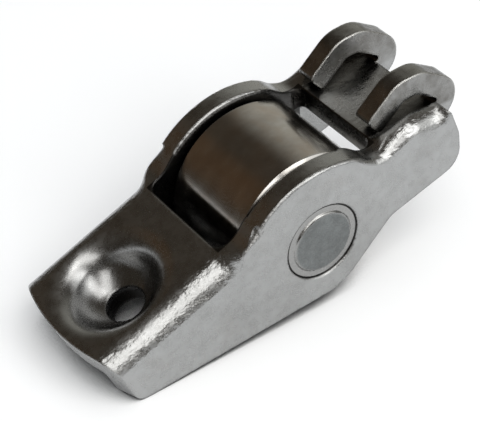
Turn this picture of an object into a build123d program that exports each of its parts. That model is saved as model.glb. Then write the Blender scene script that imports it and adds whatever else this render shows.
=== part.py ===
from build123d import *
import os
from math import acos, asin, atan2, cos, degrees, floor, hypot, pi, radians, sin, sqrt, tan

# Roller finger follower (rocker arm) with its ball socket and valve pad facing up and its roller
# face down.  The arm is one folded sheet-steel stamping; a fixed axle carries a hardened roller on
# a full complement of needles.
#
# Origin: centre of the axle.  +Y along the axle, +X towards the valve end, +Z up.  The arm's own
# outline is drawn with the straight lower wall edge level and is then tilted so that the part
# rests on its roller and on the two lower corners of the socket end.  All sizes in mm.

# ---- sheet-metal arm ----
sheet = 2.4                 # sheet thickness
body_width = 17.0           # over the outer faces of the side walls
inner_bend = 0.7            # inside radius of the folds
edge_break = 0.35           # tumbled rounding of the sheared edges
wall_drop = 6.85            # level of the straight lower wall edge, below the axle centre

# ---- socket end ----
deck_angle = 18.0           # slope of the socket deck
deck_rise = 3.6             # deck surface above the axle centre, at the window
window_socket_x = 10.5      # axle centre to the window's socket-side edge
window_corner = 1.2         # corner radius of the window
deck_length = 16.25         # window edge to the rounded end, along the deck
end_radius = 24.0           # plan radius of the rounded end
end_corner = 1.2            # lower corner of the wall at the socket end

# ---- ball socket ----
socket_setback = 9.3        # window edge to the socket axis, along the deck
ball_dia = 9.5              # ball head that the socket seats
rim_dia = 8.7               # mouth of the spherical seat
rim_depth = 1.5             # mouth below the deck surface
flare_angle = 62.0          # slope of the flared lead-in where it meets the seat
cup_wall = 2.1              # wall of the pressed cup
oil_hole_dia = 4.1          # drain hole through the bottom of the cup

# ---- humps of the side walls round the roller ----
hump_radius = 10.65
hump_centre_x = 0.26
hump_centre_z = -1.85
hump_leave_x = 5.0          # where the valve-side flank leaves the round of the hump
hump_ease = 6.0             # degrees over which the hump eases into its valve-side flank
foot_fillet = 3.0           # concave foot on the socket side
bend_runout = 2.0           # length of wall over which the fold's rounding fades out at the foot
rim_break = 0.3             # bevel of the window's edges along the humps

# ---- valve end ----
window_valve_x = 8.4        # axle centre to the window's valve-side edge
pad_level = 6.5             # valve pad above the axle centre
saddle_x = 7.1
saddle_z = 5.9
saddle_fillet = 2.2
crest_x = 12.2              # highest point of the fold beside the pad
crest_z = 8.2
valve_wall_x = 17.3         # end of the side walls
nose_x = 16.3               # end of the folds beside the pad
nose_z = 7.6
nose_foot_z = 4.2           # where the wall's end turns upright
valve_bend = 2.2            # outside radius of the folds beside the pad
trough_side = 0.45          # how far the pad's recess runs into the wall
trough_cove = 1.3           # cove between pad and folds
throat_x = 1.8              # lower wall edge: end of the straight
knee_x = 8.3                # lower wall edge: foot of the rise behind the roller
knee_z = -1.5
toe_z = 0.5                 # lower wall edge at the valve end

# ---- valve guide ears ----
ear_gap = 7.2               # between the ears, for the valve stem
ear_width = 2.1
ear_top = 11.4              # top of the ears above the axle centre
ear_rise = 37.0             # slope of the free limb
ear_fall = 35.0             # slope of the carried limb
ear_flat_start = 12.4       # flat top of the ears, from and to
ear_flat_end = 14.7
ear_tip_x = 8.93            # free tip of the ears
ear_fold = 0.5              # inside radius of the fold that turns the ears back
ear_round = 1.1             # inside radius of the ears' upper corners
ear_tip_round = 0.5         # rounding of the free tip

# ---- axle, roller and needles ----
axle_dia = 8.4
axle_bevel = 0.65           # width of the bevel on the axle's ends, and its depth
axle_bevel_depth = 0.3
axle_seat = 0.2             # countersink round each end of the axle
roller_dia = 16.6
roller_side_gap = 0.35      # roller to each wall
roller_chamfer = 0.4
needle_dia = 1.6
needle_play = 0.03          # radial clearance on each side of the needles
needle_pitch_gap = 0.03     # least gap between neighbouring needles
needle_inset = 0.3          # needle end to roller face

# ---- derived sizes ----
half_width = body_width / 2
inner_half = half_width - sheet
bend_outer = inner_bend + sheet
roller_width = 2 * (inner_half - roller_side_gap)
pitch_radius = axle_dia / 2 + needle_play + needle_dia / 2
roller_bore = axle_dia + 2 * needle_dia + 4 * needle_play
needle_count = floor(pi / asin((needle_dia + needle_pitch_gap) / (2 * pitch_radius)))
needle_length = roller_width - 2 * needle_inset
reach = 60.0                # length of cutters that run out of the part

deck_slope = tan(radians(deck_angle))
deck_plane = Plane(
    origin=(-window_socket_x, 0, deck_rise),
    x_dir=(cos(radians(deck_angle)), 0, sin(radians(deck_angle))),
    z_dir=(-sin(radians(deck_angle)), 0, cos(radians(deck_angle))),
)
socket_plane = Plane(
    origin=deck_plane.from_local_coords((-socket_setback, 0, 0)),
    x_dir=deck_plane.x_dir,
    z_dir=deck_plane.z_dir,
)


def deck_z(x):
    """Height of the socket deck's surface."""
    return deck_rise + (x + window_socket_x) * deck_slope


def hump_z(x):
    """Height of the hump's round."""
    return hump_centre_z + sqrt(hump_radius**2 - (x - hump_centre_x) ** 2)


def hump_foot_x():
    """Where the socket deck's line meets the round of the hump."""
    rise = deck_z(hump_centre_x) - hump_centre_z
    a = 1 + deck_slope**2
    b = deck_slope * rise
    c = rise**2 - hump_radius**2
    return hump_centre_x + (-b - sqrt(b * b - a * c)) / a


def rest_tilt():
    """Angle that brings the roller and the socket end's lower corners onto one level."""
    end_line = deck_length - end_radius + sqrt(end_radius**2 - inner_half**2)
    top = deck_plane.from_local_coords((-end_line, 0, 0))
    corner_x = top.X + (top.Z + wall_drop) * tan(radians(deck_angle))
    centre_x = corner_x + end_corner * tan(radians(45 - deck_angle / 2))
    centre_z = end_corner - wall_drop
    distance = hypot(centre_x, centre_z)
    return degrees(asin((roller_dia / 2 - end_corner) / distance) - atan2(-centre_z, -centre_x))


def swept_profile(face, width):
    """Solid of a side-view face, centred on the arm's middle plane."""
    return extrude(Plane.XZ * face, width / 2, both=True)


def side_outline():
    """Side view of the arm: deck, hump, saddle, crest and lower wall edge."""
    foot_x = hump_foot_x()
    foot = (foot_x, deck_z(foot_x))
    far_x = -window_socket_x - 1.4 * deck_length
    leave = (hump_leave_x, hump_z(hump_leave_x))
    summit = (hump_centre_x, hump_centre_z + hump_radius)
    saddle = (saddle_x, saddle_z)
    crest = (crest_x, crest_z)
    nose = (nose_x, nose_z)
    nose_foot = (valve_wall_x, nose_foot_z)
    toe = (valve_wall_x, toe_z)
    knee = (knee_x, knee_z)
    throat = (throat_x, -wall_drop)
    heel = (far_x, -wall_drop)
    outline = Polyline(
        leave, saddle, crest, nose, nose_foot, toe, knee, throat, heel, (far_x, deck_z(far_x)), foot
    )
    face = make_face(outline + ThreePointArc(foot, summit, leave))
    rounds = (
        (foot, foot_fillet),
        (leave, 4.0),
        (saddle, saddle_fillet),
        (crest, 6.0),
        (nose, 0.9),
        (nose_foot, 3.0),
        (toe, 2.4),
        (knee, 3.0),
        (throat, 6.0),
    )
    for point, radius in rounds:
        face = fillet(face.vertices().sort_by_distance(point)[0], radius)
    return face


def corner_section(x, z, heading, radius, wall=half_width, outward=-1, flat=False):
    """Sharp corner less its rounding or flat bevel, square to the wall's top edge at a station."""
    station = Plane(
        origin=(x, -wall, z),
        x_dir=(0, outward, 0),
        z_dir=(outward * cos(radians(heading)), 0, outward * sin(radians(heading))),
    )
    margin = 0.6
    edge = Polyline(
        (0, -radius), (margin, -radius), (margin, margin), (-radius, margin), (-radius, 0)
    )
    if flat:
        return station * make_face(edge + Line((-radius, 0), (0, -radius)))
    return station * make_face(edge + RadiusArc((-radius, 0), (0, -radius), radius))


def hump_station(angle, radius, **side):
    """Section at an angle round the hump, measured from straight up, positive to the valve end."""
    x = hump_centre_x + hump_radius * sin(radians(angle))
    z = hump_centre_z + hump_radius * cos(radians(angle))
    return corner_section(x, z, -angle, radius, **side)


def outline_top(face, x):
    """Height of the side view's upper edge at x."""
    cut = Edge.make_line((x, 0), (x, reach)).intersect(face)
    return max(vertex.Y for vertex in cut.vertices())


def outline_station(face, x, radius):
    """Section on the upper edge of the side view at x."""
    step = 0.05
    run_up = outline_top(face, x + step) - outline_top(face, x - step)
    return corner_section(x, outline_top(face, x), degrees(atan2(run_up, 2 * step)), radius)


def socket_fold_cutters(outline):
    """Rounding of the socket deck's fold and its run-out at the foot of the hump."""
    start_x = hump_foot_x() - 1.45 * bend_runout
    fade = ((0.0, 1.0), (0.4, 0.82), (0.75, 0.48), (1.05, 0.22))
    stations = [
        outline_station(outline, start_x + run * bend_runout, share * bend_outer)
        for run, share in fade
    ]
    stations.append(outline_station(outline, start_x + 1.4 * bend_runout, edge_break))
    stations.append(hump_station(foot_angle(), edge_break))
    return extrude(stations[0], 1.3 * deck_length), loft(stations)


def foot_angle():
    """Station on the hump just above its foot, in degrees before the top."""
    foot_x = hump_foot_x()
    return -degrees(acos((deck_z(foot_x) - hump_centre_z) / hump_radius)) + 12.0


def hump_edge_cutters():
    """Broken edges over the top of the hump, outside and inside."""
    leave_angle = degrees(asin((hump_leave_x - hump_centre_x) / hump_radius))
    hump_axis = Axis((hump_centre_x, 0, hump_centre_z), (0, 1, 0))
    outer = hump_station(foot_angle(), edge_break)
    inner = hump_station(foot_angle(), rim_break, wall=inner_half, outward=1, flat=True)
    span = leave_angle - hump_ease - foot_angle()
    return [revolve(section, hump_axis, span) for section in (outer, inner)]


def valve_fold_cutter(outline):
    """Rounding that grows from the hump's flank over the saddle to the folds beside the pad."""
    leave_angle = degrees(asin((hump_leave_x - hump_centre_x) / hump_radius)) - hump_ease
    past_end = valve_wall_x + 3.0
    last_x = valve_wall_x - 1.8
    fall = (outline_top(outline, last_x) - outline_top(outline, last_x - 0.1)) / 0.1
    end_z = outline_top(outline, last_x) + fall * (past_end - last_x)
    return loft(
        [
            hump_station(leave_angle, edge_break),
            hump_station(leave_angle + 2.0, edge_break),
            outline_station(outline, (hump_leave_x + saddle_x) / 2, 1.3 * edge_break),
            outline_station(outline, saddle_x + 0.4, 0.4 * valve_bend),
            outline_station(outline, (saddle_x + crest_x) / 2, 0.75 * valve_bend),
            outline_station(outline, crest_x + 0.6, valve_bend),
            outline_station(outline, last_x, valve_bend),
            corner_section(past_end, end_z, degrees(atan2(fall, 1)), valve_bend),
        ]
    )


def channel_cutter(points, width, radius):
    """Straight-sided hollow under the web, with the inside radius of the folds along its roof."""
    block = swept_profile(make_face(Polyline(*points, close=True)), width)
    roof = block.faces().filter_by(lambda f: abs(f.normal_at().Y) < 0.1 and f.normal_at().Z > 0.5)
    rims = roof[0].edges().filter_by(lambda e: abs((e @ 0 - e @ 1).Y) < 0.01)
    return fillet(rims, radius)


def socket_channel():
    """Hollow below the socket deck."""
    far_x = -window_socket_x - 1.4 * deck_length
    near_x = window_corner + 0.5 - window_socket_x
    drop = sheet / cos(radians(deck_angle))
    points = (
        (far_x, deck_z(far_x) - drop),
        (near_x, deck_z(near_x) - drop),
        (near_x, -reach),
        (far_x, -reach),
    )
    return channel_cutter(points, 2 * inner_half, inner_bend)


def valve_channel():
    """Hollow below the valve pad."""
    near_x = window_valve_x - window_corner - 0.5
    roof = pad_level - sheet
    points = ((near_x, roof), (reach, roof), (reach, -reach), (near_x, -reach))
    return channel_cutter(points, 2 * inner_half, inner_bend)


def roller_window():
    """Opening for the roller, from wall to wall."""
    length = window_socket_x + window_valve_x
    block = Pos((window_valve_x - window_socket_x) / 2, 0, 0) * Box(length, 2 * inner_half, 2 * reach)
    return fillet(block.edges().filter_by(Axis.Z), window_corner)


def pad_recess():
    """Recess between the folds, down to the valve pad, with coves along its sides."""
    near_x = window_valve_x - window_corner
    block = Pos(near_x + reach / 2, 0, pad_level + reach / 2) * Box(
        reach, 2 * (inner_half + trough_side), reach
    )
    floor_edges = block.faces().sort_by(Axis.Z)[0].edges().filter_by(Axis.X)
    return fillet(floor_edges, trough_cove)


def end_cutter():
    """What lies beyond the rounded socket end, square to the deck."""
    centre_x = end_radius - deck_length
    beyond = Pos(centre_x - end_radius, 0) * Rectangle(2 * end_radius, 4 * body_width)
    plan = deck_plane * (beyond - Pos(centre_x, 0) * Circle(end_radius))
    return extrude(plan, reach, both=True)


def socket_section():
    """Plane through the socket's axis, in the arm's side view."""
    return Plane(origin=socket_plane.origin, x_dir=socket_plane.x_dir, z_dir=(0, -1, 0))


def cup():
    """Outside of the pressed cup, below the deck."""
    centre = sqrt((ball_dia / 2) ** 2 - (rim_dia / 2) ** 2) - rim_depth
    outer = ball_dia / 2 + cup_wall
    root = -sheet / 2
    half_chord = sqrt(outer**2 - (centre - root) ** 2)
    bottom = (0, centre - outer)
    edge = Polyline((half_chord, root), (0, root), bottom)
    section = make_face(edge + RadiusArc(bottom, (half_chord, root), -outer))
    return revolve(socket_section() * section, Axis(socket_plane.origin, socket_plane.z_dir))


def seat_cutter():
    """Flared lead-in, spherical seat and drain hole."""
    ball = ball_dia / 2
    rim = (rim_dia / 2, -rim_depth)
    centre = sqrt(ball**2 - rim[0] ** 2) - rim_depth
    flare = rim_depth / (1 - cos(radians(flare_angle)))
    mouth = (rim[0] + flare * sin(radians(flare_angle)), 0)
    hole = (oil_hole_dia / 2, centre - sqrt(ball**2 - (oil_hole_dia / 2) ** 2))
    edge = Polyline(hole, (hole[0], -3 * ball), (0, -3 * ball), (0, ball), (mouth[0], ball), mouth)
    section = make_face(edge + RadiusArc(mouth, rim, -flare) + RadiusArc(rim, hole, ball))
    return revolve(socket_section() * section, Axis(socket_plane.origin, socket_plane.z_dir))


def ear_strip():
    """Side view of one guide ear: a strip of the web folded back over the pad."""
    web = pad_level - sheet / 2
    top = ear_top - sheet / 2
    turn_x = ear_flat_end + (top - web) / tan(radians(ear_fall))
    tip_z = top - (ear_flat_start - ear_tip_x) * tan(radians(ear_rise))
    path = FilletPolyline(
        (crest_x, web),
        (turn_x, web),
        (ear_flat_end, top),
        (ear_flat_start, top),
        (ear_tip_x, tip_z),
        radius=[ear_fold + sheet / 2, ear_round + sheet / 2, ear_round + sheet / 2],
    )
    strip = trace(path, sheet)
    tip = strip.vertices().sort_by_distance((ear_tip_x, tip_z))[:2]
    return fillet(tip, ear_tip_round)


def ears():
    """Both guide ears."""
    face = ear_strip()
    middle = (ear_gap + ear_width) / 2
    near = Pos(0, middle, 0) * swept_profile(face, ear_width)
    return near, Pos(0, -middle, 0) * swept_profile(face, ear_width)


def is_heel(edge):
    """Lower end corner of a side wall."""
    middle = edge @ 0.5
    low = abs(middle.Z + wall_drop) < 0.01
    return low and middle.X < -window_socket_x and abs((edge @ 0 - edge @ 1).Y) > sheet / 2


def is_axle_seat(edge):
    """Outer edge of an axle hole."""
    on_axis = edge.geom_type == GeomType.CIRCLE and abs(edge.radius - axle_dia / 2) < 0.01
    return on_axis and abs(abs((edge @ 0).Y) - half_width) < 0.01


def arm_body():
    """The folded arm: deck with socket, humped side walls, valve pad and guide ears."""
    outline = side_outline()
    body = swept_profile(outline, body_width)
    outer_edge, inner_edge = hump_edge_cutters()
    cutters = [*socket_fold_cutters(outline), outer_edge, valve_fold_cutter(outline)]
    for cutter in cutters:
        body = body - cutter - mirror(cutter, Plane.XZ)
    body = body - end_cutter() - socket_channel() - valve_channel()
    body = body - roller_window() - pad_recess() - inner_edge - mirror(inner_edge, Plane.XZ)
    heels = body.edges().filter_by(is_heel)
    body = fillet(heels, end_corner)
    body = body + cup() - seat_cutter()
    for ear in ears():
        body = body + ear
    body = body - Rot(90, 0, 0) * Cylinder(axle_dia / 2, 2 * body_width)
    body = chamfer(body.edges().filter_by(is_axle_seat), axle_seat)
    return body.rotate(Axis.Y, -rest_tilt())


def axle():
    """Pin flush with both walls."""
    pin = Rot(90, 0, 0) * Cylinder(axle_dia / 2, body_width)
    for end in (pin.faces().sort_by(Axis.Y)[0], pin.faces().sort_by(Axis.Y)[-1]):
        pin = chamfer(end.edges(), axle_bevel, axle_bevel_depth, reference=end)
    return pin


def roller():
    """Hardened roller ring."""
    ring = Cylinder(roller_dia / 2, roller_width) - Cylinder(roller_bore / 2, roller_width)
    return Rot(90, 0, 0) * chamfer(ring.edges().filter_by(GeomType.CIRCLE), roller_chamfer)


def needle(index):
    """One needle of the full complement."""
    angle = 2 * pi * index / needle_count
    pin = Rot(90, 0, 0) * Cylinder(needle_dia / 2, needle_length)
    return Pos(pitch_radius * sin(angle), 0, pitch_radius * cos(angle)) * pin


os.makedirs("parts", exist_ok=True)
export_step(arm_body(), "parts/arm_body.step")
export_step(axle(), "parts/axle.step")
export_step(roller(), "parts/roller.step")
for index in range(needle_count):
    export_step(needle(index), f"parts/needle_{index + 1:02d}.step")
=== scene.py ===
import math

import bmesh
import bpy
from mathutils import Matrix, Vector


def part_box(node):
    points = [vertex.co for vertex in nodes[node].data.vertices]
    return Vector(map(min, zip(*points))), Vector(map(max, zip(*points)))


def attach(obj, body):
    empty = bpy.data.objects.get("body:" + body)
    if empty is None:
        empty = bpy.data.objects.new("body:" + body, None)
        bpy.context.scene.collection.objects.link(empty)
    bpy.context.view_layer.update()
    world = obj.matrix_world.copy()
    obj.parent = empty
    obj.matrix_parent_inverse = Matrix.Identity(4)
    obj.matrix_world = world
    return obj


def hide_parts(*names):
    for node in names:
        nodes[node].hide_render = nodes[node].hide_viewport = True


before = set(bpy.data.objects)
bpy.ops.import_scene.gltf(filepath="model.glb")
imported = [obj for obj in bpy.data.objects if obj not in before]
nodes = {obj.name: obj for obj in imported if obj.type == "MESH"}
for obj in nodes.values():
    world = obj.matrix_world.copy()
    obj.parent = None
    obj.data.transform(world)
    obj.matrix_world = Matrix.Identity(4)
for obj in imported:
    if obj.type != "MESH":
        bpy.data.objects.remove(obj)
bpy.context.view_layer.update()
scene = bpy.context.scene

MM = 0.001
FLOOR_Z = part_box("roller")[0][2]

# Places on the arm, in millimetres: the socket's ball and axis, and the boxes that hold the ears
# and the inner faces of the roller window.
SEAT_CENTRE = (-19.50, 0.0, -0.15)
SEAT_AXIS = (-0.3702, 0.0, 0.9290)
EARS = ((8.2, -5.9, 7.4), (20.0, 5.9, 14.0))
WINDOW = ((-10.78, -6.24, -9.0), (8.05, 6.24, 9.0))

# The axle, in millimetres and degrees: the radius of its flat end faces, the rounding of the step
# round them and how steep that gets, the hollow at the step's foot, and the rounding of its edges.
PIN_RADIUS = 4.2
PIN_LENGTH = 17.0
PIN_FACE = 3.10
PIN_STEP_ROUND = 0.34
STEP_SLOPE = 66.0
PIN_FOOT = 0.03
FOOT_LIFT = 0.9
PIN_EDGE = 0.12
PIN_SEGMENTS = 128
STEP_RINGS = 12
EDGE_RINGS = 8
AXLE_AXIS = (0, 1, 0)

# The two soft lamps, and the floor's radius, in metres and watts.
KEY_DISTANCE = 0.42
KEY_SIZE = (0.18, 0.44)
KEY_POWER = 0.66
KEY_COLOUR = (1.0, 0.99, 0.97)
FLOOR_RADIUS = 1.6

# The room that the bright metal reflects: its tone, and the parts of it with another tone. Each
# has a direction, the degrees from it between which its tone fades to the room's, and its tone.
DOME_RADIUS = 0.6
DOME_LIFT = 0.002
ROOM_BROWN = (0.064, 0.052, 0.039)
ROOM_PATCHES = (
    ((0.92, 0.58, 0.15), 5, 58, (0.52, 0.51, 0.46)),
    ((-0.55, 0.65, 0.42), 6, 26, (0.100, 0.066, 0.040)),
    ((0.56, -0.68, 0.42), 12, 30, (1.45, 1.45, 1.42)),
)


# ---------- camera ----------

def add_camera():
    """The viewpoint: above the socket end, on the near side, and slightly rolled."""
    data = bpy.data.cameras.new("camera")
    data.sensor_fit = "HORIZONTAL"
    data.sensor_width = 36.0
    data.lens = 140.24
    data.clip_start = 0.005
    data.clip_end = 20.0
    camera = bpy.data.objects.new("camera", data)
    right = Vector((0.816596, -0.575438, -0.045189))
    up = Vector((0.395785, 0.501224, 0.769499))
    back = Vector((-0.420149, -0.646255, 0.637047))
    turn = Matrix((right, up, back)).transposed().to_4x4()
    camera.matrix_world = Matrix.Translation((-0.081907, -0.119894, 0.118679)) @ turn
    scene.collection.objects.link(camera)
    scene.camera = camera


# ---------- node helpers ----------

class Tree:
    """A short way to write a material's nodes."""

    def __init__(self, name):
        self.mat = bpy.data.materials.new(name)
        self.mat.use_nodes = True
        self.tree = self.mat.node_tree
        self.tree.nodes.clear()
        self.out = self.add("ShaderNodeOutputMaterial")

    def add(self, kind, **settings):
        node = self.tree.nodes.new(kind)
        for key, value in settings.items():
            setattr(node, key, value)
        return node

    def link(self, source, target):
        self.tree.links.new(source, target)

    def feed(self, socket, value):
        if isinstance(value, bpy.types.NodeSocket):
            self.link(value, socket)
        else:
            socket.default_value = value

    def math(self, operation, a, b=0.0, clamp=False):
        node = self.add("ShaderNodeMath", operation=operation, use_clamp=clamp)
        self.feed(node.inputs[0], a)
        self.feed(node.inputs[1], b)
        return node.outputs[0]

    def place(self, scale=(1, 1, 1)):
        """Object coordinates in millimetres, stretched by scale."""
        coords = self.add("ShaderNodeTexCoord")
        mapping = self.add("ShaderNodeMapping")
        mapping.inputs["Scale"].default_value = tuple(k / MM for k in scale)
        self.link(coords.outputs["Object"], mapping.inputs["Vector"])
        return mapping.outputs["Vector"]

    def noise(self, vector, size, detail=3.0, roughness=0.55, distortion=0.0):
        node = self.add("ShaderNodeTexNoise")
        node.inputs["Scale"].default_value = 1.0 / size
        node.inputs["Detail"].default_value = detail
        node.inputs["Roughness"].default_value = roughness
        node.inputs["Distortion"].default_value = distortion
        self.link(vector, node.inputs["Vector"])
        return node.outputs["Fac"]

    def span(self, value, low, high, to_low=0.0, to_high=1.0, smooth=False):
        node = self.add("ShaderNodeMapRange", clamp=True)
        if smooth:
            node.interpolation_type = "SMOOTHSTEP"
        for socket, number in zip(("From Min", "From Max", "To Min", "To Max"),
                                  (low, high, to_low, to_high)):
            node.inputs[socket].default_value = number
        self.feed(node.inputs["Value"], value)
        return node.outputs["Result"]

    def mix(self, factor, first, second):
        node = self.add("ShaderNodeMix", data_type="RGBA")
        self.feed(node.inputs["Factor"], factor)
        for name, colour in (("A", first), ("B", second)):
            linked = isinstance(colour, bpy.types.NodeSocket)
            self.feed(node.inputs[name], colour if linked else (*colour, 1.0))
        return node.outputs["Result"]

    def offset(self, centre):
        """Position in millimetres, measured from centre."""
        away = self.add("ShaderNodeVectorMath", operation="SUBTRACT")
        self.link(self.place(), away.inputs[0])
        away.inputs[1].default_value = centre
        return away.outputs[0]

    def reach(self, centre, axis=None):
        """Distance in millimetres from a point, or from the line through it along axis."""
        vector = self.offset(centre)
        if axis is not None:
            across = self.add("ShaderNodeVectorMath", operation="CROSS_PRODUCT")
            self.link(vector, across.inputs[0])
            across.inputs[1].default_value = Vector(axis).normalized()
            vector = across.outputs[0]
        length = self.add("ShaderNodeVectorMath", operation="LENGTH")
        self.link(vector, length.inputs[0])
        return length.outputs["Value"]

    def within(self, low, high, fade):
        """1 inside a box given by its corners in millimetres, 0 outside it."""
        split = self.add("ShaderNodeSeparateXYZ")
        self.link(self.place(), split.inputs[0])
        share = None
        for axis, start, end in zip("XYZ", low, high):
            value = split.outputs[axis]
            rise = self.span(value, start - fade, start)
            fall = self.span(value, end, end + fade, 1.0, 0.0)
            both = self.math("MULTIPLY", rise, fall)
            share = both if share is None else self.math("MULTIPLY", share, both)
        return share

    def folded(self):
        """1 on the folds between the level and the upright faces, less on those faces."""
        coords = self.add("ShaderNodeTexCoord")
        split = self.add("ShaderNodeSeparateXYZ")
        self.link(coords.outputs["Normal"], split.inputs[0])
        sideways = self.math("ABSOLUTE", split.outputs["Y"])
        return self.math("MULTIPLY", self.span(sideways, 0.03, 0.25, 0.35, 1.0),
                         self.span(sideways, 0.93, 0.995, 1.0, 0.24))

    def openness(self, distance):
        """1 on open faces, falling towards 0 in the corners and caves of the piece itself."""
        node = self.add("ShaderNodeAmbientOcclusion", samples=8, only_local=True)
        node.inputs["Distance"].default_value = distance
        return node.outputs["AO"]

    def bump(self, height, distance, strength=1.0, normal=None):
        node = self.add("ShaderNodeBump")
        node.inputs["Strength"].default_value = strength
        node.inputs["Distance"].default_value = distance
        self.link(height, node.inputs["Height"])
        if normal is not None:
            self.link(normal, node.inputs["Normal"])
        return node.outputs["Normal"]

    def soft_edges(self, radius):
        node = self.add("ShaderNodeBevel", samples=6)
        node.inputs["Radius"].default_value = radius
        return node.outputs["Normal"]

    def edge_share(self, softened):
        """1 along edges and 0 away from them, from how far a softened normal has turned."""
        geometry = self.add("ShaderNodeNewGeometry")
        turned = self.add("ShaderNodeVectorMath", operation="DOT_PRODUCT")
        self.link(softened, turned.inputs[0])
        self.link(geometry.outputs["Normal"], turned.inputs[1])
        return self.span(turned.outputs["Value"], 0.86, 0.97, 1.0, 0.0)

    def metal(self, colour, roughness, normal):
        shader = self.add("ShaderNodeBsdfPrincipled")
        shader.inputs["Metallic"].default_value = 1.0
        self.feed(shader.inputs["Base Color"], colour)
        self.feed(shader.inputs["Roughness"], roughness)
        self.link(normal, shader.inputs["Normal"])
        self.link(shader.outputs["BSDF"], self.out.inputs["Surface"])
        return shader


# ---------- materials ----------

def tumbled_sheet():
    """Sheet after tumbling: satin, peened on the folds, smoother where the seat is coined; with
    painted shade in corners, window, hole and seat, and painted highlights on the ears' edges.
    """
    t = Tree("tumbled_sheet_steel")
    place = t.place()
    cloud = t.noise(place, 6.0, 3.0)
    mottle = t.noise(place, 1.1, 4.0)
    grain = t.noise(place, 0.16, 2.0)
    tone = t.math("ADD", t.math("MULTIPLY", cloud, 0.5), t.math("MULTIPLY", mottle, 0.5))
    colour = t.mix(t.span(tone, 0.36, 0.64), (0.335, 0.338, 0.335), (0.415, 0.42, 0.42))
    stain = t.span(t.noise(place, 4.5, 4.0, 0.6, 0.4), 0.56, 0.80, 0.0, 0.18)
    colour = t.mix(stain, colour, (0.30, 0.27, 0.24))

    # dark scale: blotches on the ears; below them, painted edge highlights on the ears and painted
    # shade in corners, window, hole and the groove round the axle
    blotch = t.span(t.noise(place, 1.7, 4.0, 0.6), 0.34, 0.66, 0.35, 0.95)
    ears = t.within(*EARS, 0.4)
    colour = t.mix(t.math("MULTIPLY", ears, blotch), colour, (0.175, 0.17, 0.16))
    softened = t.soft_edges(0.40 * MM)
    # paler edges on the ears: painted edge highlights
    edge_glint = t.math("MULTIPLY", ears, t.edge_share(softened))
    colour = t.mix(t.math("MULTIPLY", edge_glint, 0.9), colour, (0.62, 0.62, 0.60))
    seat = t.reach(SEAT_CENTRE)
    outside_seat = t.span(seat, 5.0, 6.6, smooth=True)
    # painted shade: darker in the part's own corners and caves (kept out of the seat), in the
    # roller window, in the seat's hole and in the groove round the axle
    corner_shade = t.span(t.openness(5.0 * MM), 0.34, 0.70, 1.0, 0.0, smooth=True)
    painted_shade = t.math("MULTIPLY", corner_shade, outside_seat)
    painted_shade = t.math("MAXIMUM", painted_shade, t.math("MULTIPLY", t.within(*WINDOW, 0.03), 0.85))
    hole_shade = t.span(t.reach(SEAT_CENTRE, SEAT_AXIS), 2.06, 2.16, 1.0, 0.0)
    groove_shade = t.span(t.reach((0, 0, 0), AXLE_AXIS), PIN_RADIUS + 0.02, PIN_RADIUS + 0.10, 0.9, 0.0)
    painted_shade = t.math("MAXIMUM", painted_shade, t.math("MAXIMUM", hole_shade, groove_shade))
    colour = t.mix(painted_shade, colour, (0.022, 0.020, 0.018))

    rough = t.math("ADD", t.span(mottle, 0.3, 0.7, 0.23, 0.32),
                   t.span(grain, 0.3, 0.7, -0.02, 0.05))
    # the seat: smoother coined steel, and a darker colour there as painted shade in the cup
    coined_and_shaded = t.span(seat, 4.9, 5.6, 1.0, 0.0, smooth=True)
    rough = t.math("SUBTRACT", rough, t.math("MULTIPLY", coined_and_shaded, 0.03))
    colour = t.mix(t.math("MULTIPLY", coined_and_shaded, 0.6), colour, (0.21, 0.21, 0.21))
    tumbled = t.math("MULTIPLY", t.span(seat, 5.8, 8.6, 0.10, 1.0, smooth=True), t.folded())
    dents = t.math("MULTIPLY", t.noise(t.place((0.5, 1.0, 1.0)), 0.9, 2.0, 0.5, 0.3), tumbled)
    peening = t.math("MULTIPLY", t.noise(t.place((0.6, 1.0, 1.0)), 0.42, 2.5), tumbled)
    normal = t.bump(dents, 0.11 * MM, 0.9, softened)
    normal = t.bump(peening, 0.075 * MM, 0.9, normal)
    normal = t.bump(grain, 0.003 * MM, 0.8, normal)
    t.metal(colour, rough, normal)
    return t.mat


def ground_pin():
    """The axle's steel: a darker end face, a land round it painted paler as a painted reflection,
    and an outer rim painted dark as painted shade in the gap round the pin.
    """
    t = Tree("ground_pin_steel")
    place = t.place()
    mottle = t.noise(place, 0.9, 4.0)
    face = t.mix(t.span(mottle, 0.35, 0.65), (0.150, 0.158, 0.158), (0.190, 0.202, 0.202))
    radius = t.reach((0, 0, 0), AXLE_AXIS)
    # painted reflection: the land round the face painted paler
    colour = t.mix(t.span(radius, 3.05, 3.40, smooth=True), face, (0.33, 0.33, 0.325))
    # painted shade: the outer rim dark, as in the gap round the pin
    colour = t.mix(t.span(radius, 4.02, 4.10, 0.0, 0.95), colour, (0.020, 0.019, 0.018))
    rough = t.span(t.noise(place, 0.5, 3.0), 0.3, 0.7, 0.22, 0.32)
    normal = t.bump(t.noise(place, 0.7, 3.0), 0.02 * MM, 0.8)
    normal = t.bump(t.noise(place, 0.12, 2.0), 0.004 * MM, 0.8, normal)
    t.metal(colour, rough, normal)
    return t.mat


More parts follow.
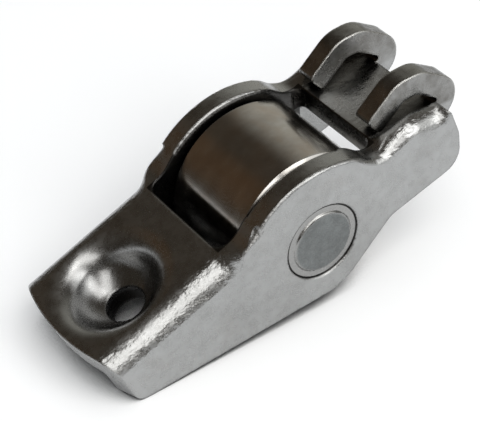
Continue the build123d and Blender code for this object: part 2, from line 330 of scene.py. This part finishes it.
def polished_roller():
    """Hardened and polished: fine lines round the axis, and slow changes of tone."""
    t = Tree("polished_roller_steel")
    place = t.place()
    rings = t.noise(t.place((0.04, 1.0, 0.04)), 0.16, 3.0, 0.7)
    broad = t.noise(t.place((0.45, 0.7, 0.45)), 1.4, 4.0)
    colour = t.mix(t.span(broad, 0.35, 0.65), (0.42, 0.40, 0.375), (0.53, 0.52, 0.50))
    tint = t.span(t.noise(t.place((0.5, 0.3, 0.5)), 1.3, 4.0, 0.6), 0.42, 0.70, 0.0, 0.5)
    tint = t.math("MULTIPLY", tint, t.within((-9.0, -5.1, -9.0), (9.0, 5.1, 9.0), 0.2))
    colour = t.mix(tint, colour, (0.44, 0.35, 0.27))
    slow = t.noise(place, 2.0, 3.0)
    rough = t.math("ADD", t.span(rings, 0.3, 0.7, 0.15, 0.21),
                   t.span(slow, 0.3, 0.7, 0.0, 0.05))
    normal = t.soft_edges(0.10 * MM)
    normal = t.bump(rings, 0.0012 * MM, 0.7, normal)
    normal = t.bump(t.noise(place, 3.5, 1.0), 0.01 * MM, 0.5, normal)
    t.metal(colour, rough, normal)
    return t.mat


def polished_needle():
    """Bright steel with faint streaks along the needle."""
    t = Tree("polished_needle_steel")
    place = t.place()
    streak = t.noise(t.place((1.0, 0.08, 1.0)), 0.3, 3.0)
    colour = t.mix(t.span(streak, 0.35, 0.65), (0.52, 0.52, 0.53), (0.62, 0.62, 0.63))
    rough = t.span(t.noise(place, 0.6, 2.0), 0.3, 0.7, 0.12, 0.2)
    t.metal(colour, rough, t.bump(streak, 0.001 * MM, 0.5))
    return t.mat


def dress(pin_steel):
    """Puts the steels on the carried-over nodes."""
    steels = {"arm_body": tumbled_sheet(), "axle": pin_steel, "roller": polished_roller()}
    needle = polished_needle()
    for name, node in nodes.items():
        node.data.materials.clear()
        node.data.materials.append(steels.get(name, needle))


# ---------- the axle's turned ends ----------

def pin_half_profile():
    """Half of the pin's outline as (radius, place along the axis): face, step, land, edge."""
    end = PIN_LENGTH / 2
    steepest = math.radians(STEP_SLOPE)
    profile = [(0.0, end), (PIN_FACE / 2, end)]
    for i in range(STEP_RINGS + 1):
        turn = steepest * i / STEP_RINGS
        profile.append((PIN_FACE + PIN_STEP_ROUND * math.sin(turn),
                        end - PIN_STEP_ROUND * (1 - math.cos(turn))))
    foot, land = profile[-1][0], profile[-1][1] - PIN_FOOT
    for i in range(EDGE_RINGS + 1):
        turn = steepest * (1 - i / EDGE_RINGS)
        lift = PIN_FOOT * FOOT_LIFT * (1 - math.cos(turn)) / (1 - math.cos(steepest))
        profile.append((foot + PIN_FOOT * (1 + i / EDGE_RINGS), land + lift))
    for i in range(EDGE_RINGS + 1):
        turn = math.pi / 2 * i / EDGE_RINGS
        profile.append((PIN_RADIUS - PIN_EDGE * (1 - math.sin(turn)),
                        land - PIN_EDGE * (1 - math.cos(turn))))
    return profile


def add_pin(steel):
    """The axle with its raised end faces and rounded edges, in the place of its plain solid."""
    half = pin_half_profile()
    profile = half + [(radius, -along) for radius, along in reversed(half)]
    bm = bmesh.new()
    rings = []
    for radius, along in profile:
        count = 1 if radius == 0 else PIN_SEGMENTS
        turns = [2 * math.pi * i / count for i in range(count)]
        ring = [
            bm.verts.new((radius * math.sin(a) * MM, along * MM, radius * math.cos(a) * MM))
            for a in turns
        ]
        rings.append(ring)
    for first, second in zip(rings, rings[1:]):
        for i in range(PIN_SEGMENTS):
            following = (i + 1) % PIN_SEGMENTS
            corners = [first[i % len(first)], second[i % len(second)],
                       second[following % len(second)], first[following % len(first)]]
            bm.faces.new(list(dict.fromkeys(corners)))
    bmesh.ops.recalc_face_normals(bm, faces=bm.faces)
    mesh = bpy.data.meshes.new("axle_pin")
    bm.to_mesh(mesh)
    bm.free()
    mesh.shade_smooth()
    mesh.materials.append(steel)
    pin = bpy.data.objects.new("axle_pin", mesh)
    scene.collection.objects.link(pin)
    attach(pin, "arm")
    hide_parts("axle")


# ---------- studio ----------

def staged(name, mesh, material):
    """An object of the studio, with its material."""
    obj = bpy.data.objects.new(name, mesh)
    obj.data.materials.append(material)
    scene.collection.objects.link(obj)
    return obj


def floor_material():
    """Pale paper, with a painted shadow right under the part. Far off, the metal sees the dim room
    on it.
    """
    t = Tree("pale_floor")
    paper = t.add("ShaderNodeBsdfDiffuse")
    fibre = t.noise(t.place(), 1.5, 3.0)
    white = t.mix(fibre, (0.93, 0.93, 0.93), (0.95, 0.95, 0.95))
    # painted shadow: dark where the part covers the floor
    under = t.add("ShaderNodeAmbientOcclusion", samples=8)
    under.inputs["Distance"].default_value = 9.0 * MM
    under_shadow = t.span(under.outputs["AO"], 0.20, 0.52, 1.0, 0.0, smooth=True)
    rays = t.add("ShaderNodeLightPath")
    white = t.mix(rays.outputs["Is Camera Ray"], white, (0.985, 0.985, 0.985))
    white = t.mix(under_shadow, white, (0.02, 0.02, 0.02))
    far = t.span(t.reach((0, 0, 0)), 80.0, 220.0, smooth=True)
    dim = t.math("MULTIPLY", rays.outputs["Is Glossy Ray"], far)
    t.link(t.mix(dim, white, (0.10, 0.09, 0.075)), paper.inputs["Color"])
    t.link(paper.outputs[0], t.out.inputs["Surface"])
    return t.mat


def add_floor():
    """The round table top that the part rests on."""
    mesh = bpy.data.meshes.new("floor")
    bm = bmesh.new()
    bmesh.ops.create_circle(bm, cap_ends=True, segments=96, radius=FLOOR_RADIUS)
    bm.to_mesh(mesh)
    bm.free()
    floor = staged("floor", mesh, floor_material())
    floor.location = (0, 0, FLOOR_Z)


def dome_material():
    """The dim room round the table: dark brown, with an olive grey wall behind the valve end."""
    t = Tree("dim_room")
    coords = t.add("ShaderNodeTexCoord")
    way = t.add("ShaderNodeVectorMath", operation="NORMALIZE")
    t.link(coords.outputs["Object"], way.inputs[0])
    colour = ROOM_BROWN
    for direction, inner, outer, tone in ROOM_PATCHES:
        towards = t.add("ShaderNodeVectorMath", operation="DOT_PRODUCT")
        t.link(way.outputs[0], towards.inputs[0])
        towards.inputs[1].default_value = Vector(direction).normalized()
        share = t.span(towards.outputs["Value"], math.cos(math.radians(outer)),
                       math.cos(math.radians(inner)), smooth=True)
        colour = t.mix(share, colour, tone)
    glow = t.add("ShaderNodeEmission")
    t.link(colour, glow.inputs["Color"])
    glow.inputs["Strength"].default_value = 1.0
    t.link(glow.outputs[0], t.out.inputs["Surface"])
    return t.mat


def add_dome():
    """A half sphere that only the metal reflects: what a bright part shows of a dim room."""
    bm = bmesh.new()
    bmesh.ops.create_uvsphere(bm, u_segments=64, v_segments=32, radius=DOME_RADIUS)
    below = [v for v in bm.verts if v.co.z < -0.001]
    bmesh.ops.delete(bm, geom=below, context="VERTS")
    mesh = bpy.data.meshes.new("dim_room")
    bm.to_mesh(mesh)
    bm.free()
    dome = staged("dim_room", mesh, dome_material())
    dome.location = (0, 0, FLOOR_Z + DOME_LIFT)
    dome.visible_camera = False
    dome.visible_diffuse = False
    dome.visible_shadow = False


def add_lamp(name, direction):
    """A soft lamp that faces the part from a direction."""
    data = bpy.data.lights.new(name, "AREA")
    data.shape = "RECTANGLE"
    data.size, data.size_y = KEY_SIZE
    data.energy = KEY_POWER
    data.color = KEY_COLOUR
    lamp = bpy.data.objects.new(name, data)
    way = Vector(direction).normalized()
    lamp.location = way * KEY_DISTANCE
    lamp.rotation_euler = way.to_track_quat("Z", "Y").to_euler()
    lamp.visible_camera = False
    scene.collection.objects.link(lamp)


def add_world():
    """Soft light from all round, which shows as white to camera, glossy and glass rays."""
    world = bpy.data.worlds.new("studio")
    world.use_nodes = True
    tree = world.node_tree
    tree.nodes.clear()
    rays = tree.nodes.new("ShaderNodeLightPath")
    seen = rays.outputs["Is Camera Ray"]
    for kind in ("Is Glossy Ray", "Is Transmission Ray"):
        either = tree.nodes.new("ShaderNodeMath")
        either.operation = "MAXIMUM"
        tree.links.new(seen, either.inputs[0])
        tree.links.new(rays.outputs[kind], either.inputs[1])
        seen = either.outputs[0]
    mix = tree.nodes.new("ShaderNodeMixShader")
    out = tree.nodes.new("ShaderNodeOutputWorld")
    tree.links.new(seen, mix.inputs[0])
    lights = (((0.96, 0.98, 1.0, 1), 0.68), ((1, 1, 1, 1), 1.0))
    for socket, (colour, strength) in zip((mix.inputs[1], mix.inputs[2]), lights):
        light = tree.nodes.new("ShaderNodeBackground")
        light.inputs["Color"].default_value = colour
        light.inputs["Strength"].default_value = strength
        tree.links.new(light.outputs[0], socket)
    tree.links.new(mix.outputs[0], out.inputs["Surface"])
    scene.world = world


def add_studio():
    """The light, the floor and the room."""
    add_world()
    add_floor()
    add_dome()
    add_lamp("key_left", (-0.26, -0.63, 0.73))
    add_lamp("key_right", (0.25, -0.65, 0.72))


scene.view_settings.view_transform = "Standard"
add_camera()
add_studio()
pin_steel = ground_pin()
dress(pin_steel)
add_pin(pin_steel)
